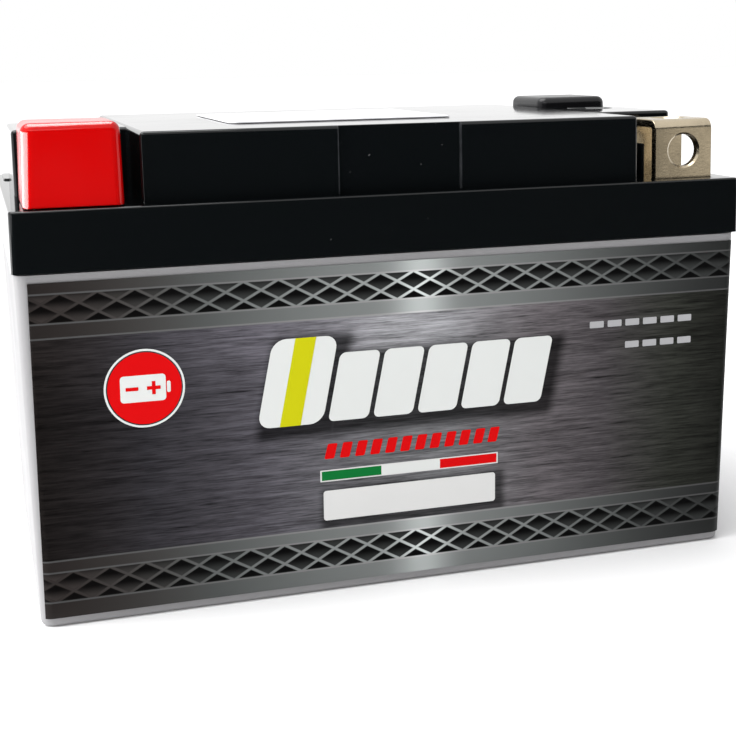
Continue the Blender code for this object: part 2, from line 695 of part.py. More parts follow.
def make_straps():
    """Copper straps between the end busbars, the board and the terminals."""
    thick = 0.8
    half = thick / 2
    on_bar = CELL_BOTTOM + CELL_LENGTH + 0.35 + BUSBAR_THICK + 0.3 + half
    under_foot = TERMINAL_FOOT - 0.3 - half
    on_board = BOARD_Z[1] + 0.2 + half
    front = (-25.0, -16.5)
    middle = (-6.0, 6.0)
    rear = (10.9, 19.4)
    outer = TERMINAL_X[1] - 1.0
    route = [(-49.3, on_bar), (-54.0, on_bar), (-56.5, under_foot), (-outer, under_foot)]
    new_object("positive_strap", bent_strip(route, 0.8, thick, *front, "XZ"), "copper")
    route = [(54.8, on_bar), (49.0, on_bar), (49.0, on_board), (36.0, on_board)]
    new_object("pack_negative_strap", bent_strip(route, 0.8, thick, *middle, "XZ"), "copper")
    route = [(34.0, on_board), (46.8, on_board), (46.8, under_foot), (outer, under_foot)]
    new_object("front_output_strap", bent_strip(route, 0.8, thick, *front, "XZ"), "copper")
    new_object("rear_output_strap", bent_strip(route, 0.8, thick, *rear, "XZ"), "copper")


def make_balance_leads():
    """Five thin sense leads from the busbars to the connector on the board."""
    plug_x, plug_z = -40.4, BOARD_Z[1] + 3.2
    pins = [-7.0 + 3.5 * i for i in range(5)]
    run = CELL_BOTTOM + CELL_LENGTH + 1.15          # height of the runs over the upper holder
    rise = -46.6                                    # X of the rise beside the board
    low = CELL_BOTTOM + 0.5
    edge = 29.9                                     # Y of the upright runs beside the holders
    routes = (
        ("balance_lead_1", ((27.0, -edge, low), (27.0, -edge, 35.0), (27.0, -edge, 66.0),
                            (24.0, -edge, 70.6), (15.0, -edge, 71.8), (-12.0, -edge, 71.8),
                            (-38.0, -edge, 71.8), (-45.0, -27.0, 72.6), (rise, -20.0, 75.6),
                            (rise, -12.0, 79.8), (-45.2, pins[0] - 0.4, 82.4),
                            (plug_x, pins[0], plug_z))),
        ("balance_lead_2", ((38.0, -24.2, run), (33.0, -26.8, run), (10.0, -27.2, run),
                            (-15.0, -27.2, run), (-38.0, -27.0, run), (-44.8, -24.6, 71.6),
                            (rise, -19.0, 73.4), (rise, -11.0, 76.9), (-46.2, -5.0, 80.6),
                            (-44.6, pins[1], 82.5), (plug_x, pins[1], plug_z))),
        ("balance_lead_3", ((-12.0, -23.7, run), (-17.0, -25.0, run), (-36.0, -25.0, run),
                            (-43.0, -23.3, 71.75), (rise, -16.5, 72.0), (rise, -8.0, 74.3),
                            (rise, -2.5, 78.2), (-45.0, pins[2], 82.0), (plug_x, pins[2], plug_z))),
        ("balance_lead_4", ((rise, 9.5, 71.8), (rise, 7.5, 75.0), (-46.3, 4.6, 79.5),
                            (-44.6, pins[3], 82.4), (plug_x, pins[3], plug_z))),
        ("balance_lead_5", ((-27.0, edge, low), (-27.0, edge, 35.0), (-27.0, edge, 66.0),
                            (-29.0, edge, 70.2), (-38.0, 29.4, 71.8), (-45.0, 26.6, 73.0),
                            (rise, 20.0, 75.0), (rise, 12.5, 79.3), (-45.2, pins[4] + 0.4, 82.2),
                            (plug_x, pins[4], plug_z))),
    )
    for name, route in routes:
        wire(name, route, 0.7, "wire_red")


clear_scene()
make_case()
make_lid()
make_terminals()
make_caps()
make_labels()
make_cells()
make_holder("lower_cell_holder", CELL_BOTTOM)
make_holder("upper_cell_holder", CELL_BOTTOM + CELL_LENGTH - HOLDER_THICK)
make_busbars()
make_padding()
make_board()
make_straps()
make_balance_leads()
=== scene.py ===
import json
import math

import bmesh
import bpy
from mathutils import Matrix, Vector


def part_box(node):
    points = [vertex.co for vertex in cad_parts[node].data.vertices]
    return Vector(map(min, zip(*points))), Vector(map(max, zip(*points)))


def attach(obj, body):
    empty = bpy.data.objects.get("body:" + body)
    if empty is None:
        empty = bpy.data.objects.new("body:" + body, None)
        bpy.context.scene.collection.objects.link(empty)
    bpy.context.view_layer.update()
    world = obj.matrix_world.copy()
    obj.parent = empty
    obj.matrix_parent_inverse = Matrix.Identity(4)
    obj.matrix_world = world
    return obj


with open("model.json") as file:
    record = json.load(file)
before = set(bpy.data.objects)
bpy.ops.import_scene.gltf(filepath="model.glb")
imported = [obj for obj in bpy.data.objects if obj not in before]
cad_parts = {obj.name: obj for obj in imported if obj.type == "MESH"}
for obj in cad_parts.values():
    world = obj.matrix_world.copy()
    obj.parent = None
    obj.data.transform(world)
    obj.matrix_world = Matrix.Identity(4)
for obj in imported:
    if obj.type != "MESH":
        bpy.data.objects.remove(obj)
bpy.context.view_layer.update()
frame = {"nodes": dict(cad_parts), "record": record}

# A motorcycle battery: materials for its CAD solids, printed marks on its labels, and the stage.
MM = 0.001
nodes = frame["nodes"]

# Label artwork, in mm: X runs along a label's face and Z up from the ground.
# A box is x0, x1, z0, z1 and the radius of its corners.
LABEL_TOP, LABEL_FOOT = 67.0, 1.9
LABEL_SPILL = 1.0               # how far a plain strip is drawn past the label's edge
MESH_BANDS = ((59.3, 64.9), (5.1, 11.0))    # diamond mesh, foot and top of each band
STRIP_EDGES = (56.5, 13.3)      # where the plain strip beside each band meets the brushed ground
MESH_PITCH = 6.86               # width of a diamond
MESH_START = 1.95               # X of one column of diamonds
MESH_ROWS = 1.5                 # diamonds in a band's height
LEAN = 0.2                      # how far the gauge leans right for each mm of height
TALL_BLOCK = (-30.4, -17.2, 35.4, 53.0, 2.6)
LIME_BAR = (-25.9, -21.7, 35.4, 53.0, 0.1)
LOW_BLOCK, LOW_BLOCKS, LOW_BLOCK_PITCH = (-16.1, -7.8, 35.6, 49.4, 1.2), 5, 9.3
TICK, TICKS, TICK_PITCH, TICK_LEAN = (-17.0, -15.0, 27.9, 31.0, 0.3), 12, 3.15, 0.25
STRIPE_EDGE = (-17.9, 20.0, 23.2, 25.6, 0.1)
STRIPE_INSIDE = (23.45, 25.35, 0.05)        # foot, top and corner radius of each colour
STRIPE_COLOURS = (("green", -17.6, -5.2), ("white", -5.2, 7.3), ("red", 7.3, 19.7))
PLATE = (-17.3, 19.4, 15.1, 21.3, 0.6)
DASH_ROWS = (((40.5, 43.7, 50.2, 51.6, 0.2), 6), ((48.7, 51.9, 45.4, 46.8, 0.2), 4))
DASH_PITCH = 4.1
BADGE = (-51.8, 45.6)
BADGE_RADIUS, BADGE_RING = 7.0, (7.25, 7.65)
# The badge's pictogram, from the badge's centre: body and pole, minus sign, and the plus sign's
# place with half its width and half an arm's width.
CELL_BODY = ((-4.6, 4.0, -2.6, 2.6, 0.7), (4.2, 4.9, -1.1, 1.1, 0.3))
MINUS_SIGN = (-3.6, -1.2, -0.35, 0.35, 0.1)
PLUS_SIGN = (1.7, 0.0, 1.3, 0.35)
# Soft shadows low and to the right of the gauge and of the plate: x0, x1, z0, z1, then lean,
# softness and depth.
SHADOWS = (((-29.0, -15.8, 34.2, 51.8), LEAN, 3.0, 1.0),
           ((-14.7, 30.6, 34.4, 48.2), LEAN, 3.0, 1.0),
           ((-16.6, 20.3, 14.2, 20.6), 0.0, 2.2, 0.85))
INK_BASE, INK_LAYER, INK_THICK = 0.02, 0.03, 0.03       # gap over the label, step and depth of a print
ROUND_STEPS = 72                # sides of a printed circle

PANEL_EDGES = (-12.2, 13.1)     # X of the arrises beside the lid's front panel, mm
SHARP_ANGLE = math.radians(32)  # edges steeper than this stay sharp
WELD = 2e-6                     # corners closer than this are joined, m
END_BAND = 1e-4                 # depth of the band in which a label's end points lie, m


# ---- small tools ------------------------------------------------------------------------
def link(obj):
    bpy.context.scene.collection.objects.link(obj)
    return obj


def mesh_object(name, bm, mat):
    bmesh.ops.recalc_face_normals(bm, faces=bm.faces)
    mesh = bpy.data.meshes.new(name)
    bm.to_mesh(mesh)
    bm.free()
    mesh.materials.append(mat)
    return link(bpy.data.objects.new(name, mesh))


def smooth_group():
    """Geometry nodes that shade smooth and keep steep edges sharp."""
    group = bpy.data.node_groups.new("smooth_by_edge_angle", "GeometryNodeTree")
    group.interface.new_socket("Geometry", in_out="INPUT", socket_type="NodeSocketGeometry")
    group.interface.new_socket("Geometry", in_out="OUTPUT", socket_type="NodeSocketGeometry")
    new, join = group.nodes.new, group.links.new
    start, end = new("NodeGroupInput"), new("NodeGroupOutput")
    weld = new("GeometryNodeMergeByDistance")
    weld.inputs["Distance"].default_value = WELD
    faces = new("GeometryNodeSetShadeSmooth")
    faces.domain = "FACE"
    angle = new("GeometryNodeInputMeshEdgeAngle")
    sharp = new("FunctionNodeCompare")
    sharp.operation = "GREATER_THAN"
    sharp.inputs["B"].default_value = SHARP_ANGLE
    edges = new("GeometryNodeSetShadeSmooth")
    edges.domain = "EDGE"
    edges.inputs["Shade Smooth"].default_value = False
    join(start.outputs[0], weld.inputs["Geometry"])
    join(weld.outputs["Geometry"], faces.inputs["Geometry"])
    join(angle.outputs["Unsigned Angle"], sharp.inputs["A"])
    join(sharp.outputs["Result"], edges.inputs["Selection"])
    join(faces.outputs["Geometry"], edges.inputs["Geometry"])
    join(edges.outputs["Geometry"], end.inputs[0])
    return group


SMOOTH = smooth_group()


def smooth(obj):
    """Smooth shading. Large flat faces keep their own normal, so that reflections stay straight."""
    step = obj.modifiers.new("smooth", "NODES")
    step.node_group = SMOOTH
    weight = obj.modifiers.new("flat_faces", "WEIGHTED_NORMAL")
    weight.mode = "FACE_AREA"
    weight.weight = 100
    weight.keep_sharp = True


# ---- materials --------------------------------------------------------------------------
class Shader:
    """A material's node tree with short ways to add and join nodes."""

    def __init__(self, name):
        self.material = bpy.data.materials.new(name)
        self.material.use_nodes = True
        self.tree = self.material.node_tree
        self.surface = self.tree.nodes["Principled BSDF"]
        self.place = self.add("ShaderNodeTexCoord").outputs["Object"]

    def add(self, kind, **values):
        node = self.tree.nodes.new(kind)
        for key, value in values.items():
            setattr(node, key, value)
        return node

    def join(self, source, target):
        self.tree.links.new(source, target)

    def put(self, **values):
        for key, value in values.items():
            self.surface.inputs[key.replace("_", " ")].default_value = value

    def math(self, operation, a, b=None):
        node = self.add("ShaderNodeMath", operation=operation)
        for socket, value in zip(node.inputs, (a, b)):
            if isinstance(value, (int, float)):
                socket.default_value = value
            elif value is not None:
                self.join(value, socket)
        return node.outputs[0]

    def noise(self, scale, detail=2.0, rough=0.5, stretch=(1, 1, 1)):
        """Noise in the part's own space, with this many lumps to a metre."""
        mapping = self.add("ShaderNodeMapping")
        mapping.inputs["Scale"].default_value = stretch
        self.join(self.place, mapping.inputs["Vector"])
        node = self.add("ShaderNodeTexNoise")
        node.inputs["Scale"].default_value = scale
        node.inputs["Detail"].default_value = detail
        node.inputs["Roughness"].default_value = rough
        self.join(mapping.outputs["Vector"], node.inputs["Vector"])
        return node.outputs["Fac"]

    def span(self, value, low, high, to_low, to_high, kind="LINEAR"):
        """The value's place from low to high, carried over to another span and held to it."""
        node = self.add("ShaderNodeMapRange", interpolation_type=kind)
        self.join(value, node.inputs["Value"])
        ends = {"From Min": low, "From Max": high, "To Min": to_low, "To Max": to_high}
        for key, number in ends.items():
            node.inputs[key].default_value = number
        return node.outputs["Result"]

    def mix(self, share, a, b):
        node = self.add("ShaderNodeMix", data_type="RGBA")
        sockets = (node.inputs[0], node.inputs[6], node.inputs[7])
        for socket, value in zip(sockets, (share, a, b)):
            if isinstance(value, (int, float)):
                socket.default_value = value
            elif isinstance(value, tuple):
                socket.default_value = (*value, 1.0)
            else:
                self.join(value, socket)
        return node.outputs[2]

    def times(self, value, factor, plus=0.0):
        """value * factor + plus"""
        product = self.math("MULTIPLY", value, factor)
        return self.math("ADD", product, plus) if plus else product

    def away(self, value, centre):
        return self.math("ABSOLUTE", self.math("SUBTRACT", value, centre))

    def between(self, value, low, high):
        """1 between low and high, and 0 outside."""
        above, below = self.math("GREATER_THAN", value, low), self.math("LESS_THAN", value, high)
        return self.math("MULTIPLY", above, below)

    def bell(self, value, centre, reach):
        """1 at the centre, falling along a bell curve on both sides."""
        off = self.math("DIVIDE", self.math("SUBTRACT", value, centre), reach)
        return self.math("EXPONENT", self.times(self.math("MULTIPLY", off, off), -1.0))

    def tone(self, level, tint):
        """A share of the tint, with black for none."""
        return self.mix(level, (0.0, 0.0, 0.0), tint)

    def axes(self):
        split = self.add("ShaderNodeSeparateXYZ")
        self.join(self.place, split.inputs[0])
        return split.outputs["X"], split.outputs["Y"], split.outputs["Z"]

    def bump(self, height, strength, distance):
        node = self.add("ShaderNodeBump")
        node.inputs["Strength"].default_value = strength
        node.inputs["Distance"].default_value = distance
        self.join(height, node.inputs["Height"])
        self.join(node.outputs["Normal"], self.surface.inputs["Normal"])

    def colour(self, output):
        self.join(output, self.surface.inputs["Base Color"])

    def rough(self, output):
        self.join(output, self.surface.inputs["Roughness"])


def moulded(name, colour, rough, grain=900.0, bump=0.1, vary=0.12, smudge=0.06, **more):
    """Moulded plastic, rubber or foam: slight cloudiness, fine grain and uneven gloss."""
    s = Shader(name)
    s.put(**more)
    cloud = s.noise(28.0, 3.0)
    dark = tuple(c * (1 - vary) for c in colour)
    light = tuple(min(1.0, c * (1 + vary)) for c in colour)
    s.colour(s.mix(cloud, dark, light))
    s.rough(s.span(s.noise(60.0, 4.0), 0.3, 0.7, rough - smudge, rough + smudge))
    s.bump(s.noise(grain, 2.0), bump, 0.00005)
    return s.material


def metal(name, colour, rough, bump=0.08):
    """Plated or bare sheet metal with rolling streaks, spots of tarnish and small dents."""
    s = Shader(name)
    s.put(Metallic=1.0)
    line = s.noise(700.0, 3.0, stretch=(1, 1, 14))
    spot = s.noise(160.0, 4.0, 0.6)
    dull = tuple(c * 0.8 for c in colour)
    tone = s.mix(s.span(spot, 0.45, 0.72, 0.0, 1.0), colour, dull)
    s.colour(s.mix(s.span(line, 0.35, 0.65, 0.0, 0.35), tone, dull))
    s.rough(s.span(line, 0.3, 0.7, rough - 0.07, rough + 0.1))
    s.bump(s.math("ADD", line, s.times(spot, 2.0)), bump, 0.00006)
    return s.material


def lid_material():
    """Polished black plastic with a painted highlight along the arris at both sides of the front panel."""
    s = Shader("lid_gloss_black")
    s.put(Specular_IOR_Level=0.4)
    x, y, z = s.axes()
    x = s.times(x, 1 / MM)
    off = s.math("MINIMUM", *(s.away(x, edge) for edge in PANEL_EDGES))
    # the painted highlight shows on the front alone, from the terminal shoulders up
    front = s.math("MULTIPLY", s.math("LESS_THAN", y, -39.5 * MM), s.math("GREATER_THAN", z, 80.6 * MM))
    # painted highlight: a light grey line along each panel arris, broken up by noise, stands in for the edges
    # catching the light
    arris_highlight = s.math("MULTIPLY", s.span(off, 0.05, 0.28, 1.0, 0.0), front)
    arris_highlight = s.math("MULTIPLY", arris_highlight, s.span(s.noise(500.0, 3.0), 0.35, 0.6, 0.35, 1.0))
    black = s.mix(s.noise(14.0, 3.0), (0.0026, 0.0036, 0.0042), (0.0044, 0.0050, 0.0052))
    dust = s.span(s.noise(1100.0, 1.0), 0.79, 0.82, 0.0, 1.0)
    black = s.mix(dust, black, (0.08, 0.08, 0.08))
    # the painted arris highlight is mixed in as light grey over the black
    s.colour(s.mix(arris_highlight, black, (0.035, 0.037, 0.04)))
    s.rough(s.span(s.noise(45.0, 4.0, 0.6), 0.4, 0.75, 0.045, 0.11))
    s.bump(s.noise(140.0, 2.0), 0.03, 0.00004)
    return s.material


class LabelPrint(Shader):
    """Printed film: dark brushed metal, bright in the middle, with two bands of diamond mesh."""

    BRUSHING = (0.05, 1.0, 1.0)     # noise stretched along X
    # Light along the label: bell curves, each with its centre, its reach and its strength.
    GLOW = ((3.8, 41.5, 0.135),)                            # on the brushed ground
    PATCH = ((1.5, 13.0, 0.11), (-12.0, 36.0, 0.045))       # more of it under the upper band
    BEAM = ((3.6, 5.2, 0.68), (2.0, 42.0, 0.5))             # on the plain strips and the mesh
    PATCH_HEIGHT = (53.0, 6.5)      # the patch's centre and reach in Z
    DARKEST, SHADOW_DEPTH = 0.004, 0.82
    # How bright a print is: its share of the light on it, and a base level.
    STRIP, RULE, SILVER, HOLE = (0.36, 0.010), (0.4, 0.05), (0.55, 0.014), (0.03, 0.003)
    RULE_EDGE = (0.12, 0.22)        # where a rule starts to fade and where it ends, mm off its middle
    STRAND_EDGE = (0.065, 0.1)      # the same for a strand, as a share of a cell
    # Colours along the label: the first one, then where each next one sets in.
    GROUND_TINTS = ((1.0, 0.80, 0.74), ((-72.0, -52.0, (0.90, 0.85, 1.0)), (-30.0, -4.0, (0.95, 0.95, 1.0)),
                                        (10.0, 30.0, (1.0, 0.90, 0.96)), (44.0, 60.0, (0.94, 1.0, 0.82))))
    STEEL_TINTS = ((1.0, 0.83, 0.77), ((-68.0, -40.0, (0.94, 1.0, 0.98)),))

    def __init__(self, name, flip):
        super().__init__(name)
        self.put(Metallic=0.0, Specular_IOR_Level=0.1)
        x, _, z = self.axes()
        self.u = self.times(x, flip / MM)
        self.v = self.times(z, 1 / MM)
        self.fine = self.noise(3200.0, 3.0, 0.7, self.BRUSHING)
        self.steel = self.along(*self.STEEL_TINTS)
        self.beam = self.light(self.BEAM)
        print_colour = self.ground()
        for band, edge in zip(MESH_BANDS, STRIP_EDGES):
            print_colour = self.with_band(print_colour, *band, edge)
        self.colour(print_colour)
        self.rough(self.span(self.fine, 0.3, 0.7, 0.32, 0.46))
        self.bump(self.fine, 0.05, 0.00003)

    def light(self, bells):
        """The sum of some bell curves along the label."""
        total = 0.0
        for centre, reach, strength in bells:
            total = self.math("ADD", self.times(self.bell(self.u, centre, reach), strength), total)
        return total

    def along(self, colour, changes):
        for start, end, following in changes:
            colour = self.mix(self.span(self.u, start, end, 0.0, 1.0), colour, following)
        return colour

    def shadow(self, box, lean, soft):
        """1 inside a leaning box, falling to 0 over soft mm outside it."""
        x0, x1, z0, z1 = box
        upright = self.math("SUBTRACT", self.u, self.times(self.math("SUBTRACT", self.v, z0), lean))
        dx = self.math("SUBTRACT", self.away(upright, (x0 + x1) / 2), (x1 - x0) / 2)
        dz = self.math("SUBTRACT", self.away(self.v, (z0 + z1) / 2), (z1 - z0) / 2)
        dx, dz = (self.math("MAXIMUM", d, 0.0) for d in (dx, dz))
        squares = (self.math("MULTIPLY", d, d) for d in (dx, dz))
        far = self.math("SQRT", self.math("ADD", *squares))
        return self.span(far, 0.0, soft, 1.0, 0.0, "SMOOTHSTEP")

    def ground(self):
        """Brushed metal with soft shadows under the marks and a shine under the upper band."""
        dim = 0.0
        for box, lean, soft, depth in SHADOWS:
            dim = self.math("MAXIMUM", self.times(self.shadow(box, lean, soft), depth), dim)
        streaks = self.noise(850.0, 4.0, 0.65, self.BRUSHING)
        brushed = self.math("ADD", self.span(streaks, 0.3, 0.7, 0.55, 1.3),
                            self.span(self.fine, 0.25, 0.75, -0.6, 0.7))
        patch = self.math("MULTIPLY", self.bell(self.v, *self.PATCH_HEIGHT), self.light(self.PATCH))
        level = self.math("ADD", self.math("ADD", self.light(self.GLOW), self.DARKEST), patch)
        level = self.math("MULTIPLY", level, self.times(dim, -self.SHADOW_DEPTH, 1.0))
        return self.tone(self.math("MULTIPLY", level, brushed), self.along(*self.GROUND_TINTS))

    def with_band(self, colour, foot, top, strip_edge):
        """The colour with one band of mesh over it, its plain strips and its three rules."""
        if strip_edge < foot:
            low, high = strip_edge, LABEL_TOP + LABEL_SPILL
        else:
            low, high = LABEL_FOOT - LABEL_SPILL, strip_edge
        strip = self.tone(self.times(self.beam, *self.STRIP), self.steel)
        colour = self.mix(self.between(self.v, low, high), colour, strip)
        colour = self.mix(self.between(self.v, foot, top), colour, self.lattice(foot, top))
        rule = self.tone(self.times(self.beam, *self.RULE), (1.0, 1.0, 1.0))
        for line in (foot, top, strip_edge):
            near = self.span(self.away(self.v, line), *self.RULE_EDGE, 1.0, 0.0)
            colour = self.mix(near, colour, rule)
        return colour

    def lattice(self, foot, top):
        """Diamond mesh between two heights, from the place in a cell along both families of strands."""
        row = self.math("DIVIDE", self.math("SUBTRACT", self.v, foot), (top - foot) / MESH_ROWS)
        column = self.math("DIVIDE", self.math("SUBTRACT", self.u, MESH_START), MESH_PITCH)
        rising, falling = (self.centred(self.math(kind, column, row)) for kind in ("ADD", "SUBTRACT"))
        edge = self.math("MAXIMUM", *(self.math("ABSOLUTE", part) for part in (rising, falling)))
        near = self.math("SUBTRACT", 0.5, edge)
        core = self.span(near, 0.0, 0.1, 1.0, 0.7)
        silver = self.tone(self.math("MULTIPLY", self.times(self.beam, *self.SILVER), core), self.steel)
        # each cell is dark at its top and lighter low down, like a dimple lit from above
        depth = self.span(self.math("SUBTRACT", rising, falling), -0.75, 0.35, 1.0, 0.0, "SMOOTHSTEP")
        hole = self.tone(self.times(depth, *self.HOLE), self.steel)
        return self.mix(self.span(near, *self.STRAND_EDGE, 1.0, 0.0, "SMOOTHSTEP"), hole, silver)

    def centred(self, value):
        """How far the value is above (or, as a minus, below) the nearest whole number."""
        return self.math("SUBTRACT", self.math("FRACT", self.math("ADD", value, 0.5)), 0.5)


def printed(name, colour, rough=0.42):
    """Print on film: even, nearly matt and very finely grained."""
    return moulded(name, colour, rough, grain=2500.0, bump=0.02, vary=0.03, smudge=0.03,
                   Specular_IOR_Level=0.05)


FINISH = {
    "case_grey": moulded("case_grey_plastic", (0.25, 0.247, 0.252), 0.46, grain=2600.0, bump=0.25, vary=0.05),
    "gloss_black": lid_material(),
    "cap_red": moulded("cap_gloss_red", (0.48, 0.0004, 0.0005), 0.12, grain=400.0, bump=0.04, vary=0.05,
                       smudge=0.03, Specular_IOR_Level=0.35),
    "cap_black": moulded("cap_satin_black", (0.006, 0.006, 0.007), 0.24, grain=1500.0, bump=0.12,
                         Specular_IOR_Level=0.35),
    "nickel": metal("terminal_nickel", (0.60, 0.51, 0.37), 0.2, bump=0.05),
    "copper": metal("strap_copper", (0.72, 0.36, 0.2), 0.28),
    "cell_sleeve": moulded("cell_sleeve_blue", (0.02, 0.09, 0.3), 0.35),
    "holder": moulded("cell_holder_black", (0.03, 0.03, 0.033), 0.5),
    "foam": moulded("foam_black", (0.05, 0.05, 0.053), 0.9, grain=1400.0, bump=1.0),
    "fish_paper": moulded("insulating_paper", (0.3, 0.33, 0.24), 0.8, grain=1100.0, bump=0.6),
    "board_green": moulded("board_solder_mask", (0.01, 0.12, 0.04), 0.32),
    "chip_black": moulded("chip_epoxy", (0.02, 0.02, 0.02), 0.5, grain=2600.0, bump=0.4),
    "connector_white": moulded("connector_nylon", (0.75, 0.73, 0.66), 0.42),
    "wire_red": moulded("lead_insulation", (0.5, 0.015, 0.015), 0.45),
    "seal_rubber": moulded("seal_rubber", (0.015, 0.015, 0.015), 0.7, grain=1200.0, bump=0.5),
    "sealant": moulded("sealant_grey", (0.1, 0.1, 0.1), 0.5),
    "label_white": printed("top_label_film", (0.82, 0.82, 0.84), 0.3),
}

for part in frame["record"]["subparts"]:
    obj = nodes[part["node"]]
    slot = part["material_slot"]
    obj.data.materials.clear()
    if slot == "label_charcoal":
        flip = 1.0 if part["node"].startswith("front") else -1.0
        obj.data.materials.append(LabelPrint(part["node"] + "_print", flip).material)
    else:
        obj.data.materials.append(FINISH[slot])
    smooth(obj)


# ---- printed marks on the labels --------------------------------------------------------
def label_plane(node):
    """The label's outer face as Y at height z, both in mm, without its sign."""
    low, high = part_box(node)
    points = [v.co for v in nodes[node].data.vertices]
    top = max(abs(p.y) for p in points if p.z > high.z - END_BAND) / MM
    foot = max(abs(p.y) for p in points if p.z < low.z + END_BAND) / MM
    z0, z1 = low.z / MM, high.z / MM
    return lambda z: foot + (top - foot) * (z - z0) / (z1 - z0)


FACE = {"front": label_plane("front_label"), "back": label_plane("back_label")}
INK = {
    "white": printed("ink_white", (0.62, 0.635, 0.62)),
    "lime": printed("ink_lime", (0.50, 0.49, 0.004)),
    "red": printed("ink_red", (0.58, 0.001, 0.002)),
    "green": printed("ink_green", (0.004, 0.15, 0.03)),
    "grey": printed("ink_grey", (0.36, 0.36, 0.37)),
    "pale": printed("ink_pale", (0.62, 0.62, 0.61)),
}


class Print:
    """A printed mark on one label: thin closed pieces that lie in a layer over the film."""

    def __init__(self, side, lift):
        self.side = side
        self.turn = -1.0 if side == "front" else 1.0
        self.foot = INK_BASE + INK_LAYER * lift
        self.bm = bmesh.new()

    def corners(self, loop, height):
        """One corner for each (x, z) of the loop, this high over the mark's underside."""
        turn, face = self.turn, FACE[self.side]
        return [self.bm.verts.new((-turn * x * MM, turn * (face(z) + self.foot + height) * MM, z * MM))
                for x, z in loop]

    def wall(self, low, high):
        """Faces between two closed rows of corners."""
        for i in range(len(low)):
            j = (i + 1) % len(low)
            self.bm.faces.new((low[i], low[j], high[j], high[i]))

    def finish(self, name, tone):
        obj = mesh_object(f"{self.side}_{name}", self.bm, INK[tone])
        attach(obj, "battery")


def ink(name, side, outlines, tone, lift):
    """Filled shapes. Outlines are closed loops of (x, z) in mm, and lift is the layer."""
    mark = Print(side, lift)
    for loop in outlines:
        low, high = (mark.corners(loop, height) for height in (0.0, INK_THICK))
        mark.bm.faces.new(low)
        mark.bm.faces.new(high)
        mark.wall(low, high)
    mark.finish(name, tone)


def ring(name, side, centre, inner, outer, tone, lift):
    """A flat ring as one closed piece."""
    mark = Print(side, lift)
    section = ((inner, 0.0), (outer, 0.0), (outer, INK_THICK), (inner, INK_THICK))
    rows = [mark.corners(disc(*centre, radius), height) for radius, height in section]
    for low, high in zip(rows, rows[1:] + rows[:1]):
        mark.wall(low, high)
    mark.finish(name, tone)


def rounded(x0, x1, z0, z1, radius, slant=0.0, steps=6):
    """A rounded rectangle as a loop, leaning right by slant mm for each mm of height."""
    loop = []
    for cx, cz, start in ((x1 - radius, z1 - radius, 0), (x0 + radius, z1 - radius, 90),
                          (x0 + radius, z0 + radius, 180), (x1 - radius, z0 + radius, 270)):
        for i in range(steps + 1):
            a = math.radians(start + 90 * i / steps)
            z = cz + radius * math.sin(a)
            loop.append((cx + radius * math.cos(a) + slant * (z - z0), z))
    return loop


def moved(box, x, z):
    x0, x1, z0, z1, radius = box
    return x0 + x, x1 + x, z0 + z, z1 + z, radius


def repeated(box, count, pitch, slant=0.0):
    """Rounded rectangles in a row, each one pitch to the right of the last."""
    return [rounded(*moved(box, pitch * i, 0.0), slant) for i in range(count)]


def disc(cx, cz, radius):
    turns = [2 * math.pi * i / ROUND_STEPS for i in range(ROUND_STEPS)]
    return [(cx + radius * math.cos(a), cz + radius * math.sin(a)) for a in turns]


def plus(cx, cz, half, arm):
    """A plus sign: half its width, and half the width of an arm."""
    return [(cx - arm, cz - half), (cx + arm, cz - half), (cx + arm, cz - arm), (cx + half, cz - arm),
            (cx + half, cz + arm), (cx + arm, cz + arm), (cx + arm, cz + half), (cx - arm, cz + half),
            (cx - arm, cz + arm), (cx - half, cz + arm), (cx - half, cz - arm), (cx - arm, cz - arm)]


def badge(side):
    """Round red badge with a plain battery pictogram."""
    body = [rounded(*moved(box, *BADGE)) for box in CELL_BODY]
    x, z, half, arm = PLUS_SIGN
    signs = [plus(BADGE[0] + x, BADGE[1] + z, half, arm), rounded(*moved(MINUS_SIGN, *BADGE))]
    ink("badge_disc", side, [disc(*BADGE, BADGE_RADIUS)], "red", 0)
    ring("badge_ring", side, BADGE, *BADGE_RING, "white", 0)
    ink("badge_cell_body", side, body, "white", 1)
    ink("badge_cell_signs", side, signs, "red", 2)


def gauge(side):
    """Charge gauge: a tall slanted block with a lime bar, then a row of lower white blocks."""
    low_blocks = repeated(LOW_BLOCK, LOW_BLOCKS, LOW_BLOCK_PITCH, LEAN)
    ink("gauge_blocks", side, [rounded(*TALL_BLOCK, LEAN)] + low_blocks, "white", 0)
    ink("gauge_lime_bar", side, [rounded(*LIME_BAR, LEAN)], "lime", 1)


def stripe(side):
    """Three-colour stripe with a pale edge."""
    ink("stripe_edge", side, [rounded(*STRIPE_EDGE)], "pale", 0)
    for tone, x0, x1 in STRIPE_COLOURS:
        ink(f"stripe_{tone}", side, [rounded(x0, x1, *STRIPE_INSIDE)], tone, 1)


def dashes(side):
    """Two rows of plain dashes."""
    rows = [repeated(box, count, DASH_PITCH) for box, count in DASH_ROWS]
    ink("dash_rows", side, sum(rows, []), "grey", 0)


for side in ("front", "back"):
    badge(side)
    gauge(side)
    ink("tick_row", side, repeated(TICK, TICKS, TICK_PITCH, TICK_LEAN), "red", 0)
    stripe(side)
    ink("plate_blank", side, [rounded(*PLATE)], "pale", 0)
    dashes(side)


# ---- stage, in metres: floor, black cards, lights, camera ------------------------------
FLOOR_SIZE = 6.0                # half the floor's side
FLAG_LEFT, FLAG_RIGHT = -0.7, 0.9
FLAG_Y, FLAG_TOP = -0.42, 0.3   # the upright card stands in front of the battery
FLAG_END = -0.046               # the card on the floor ends just before the battery
WHITE = (1.0, 1.0, 1.0)

CAMERA_PLACE = (-0.0812, -0.3013, 0.1078)
CAMERA_YAW, CAMERA_PITCH, CAMERA_ROLL = (math.radians(a) for a in (17.308, -8.132, -0.924))
LENS, SENSOR = 67.52, 36.0      # mm
SHIFT = (-0.0435, -0.1603)

TERMINALS = ("front_negative_terminal", "positive_terminal", "rear_negative_terminal")


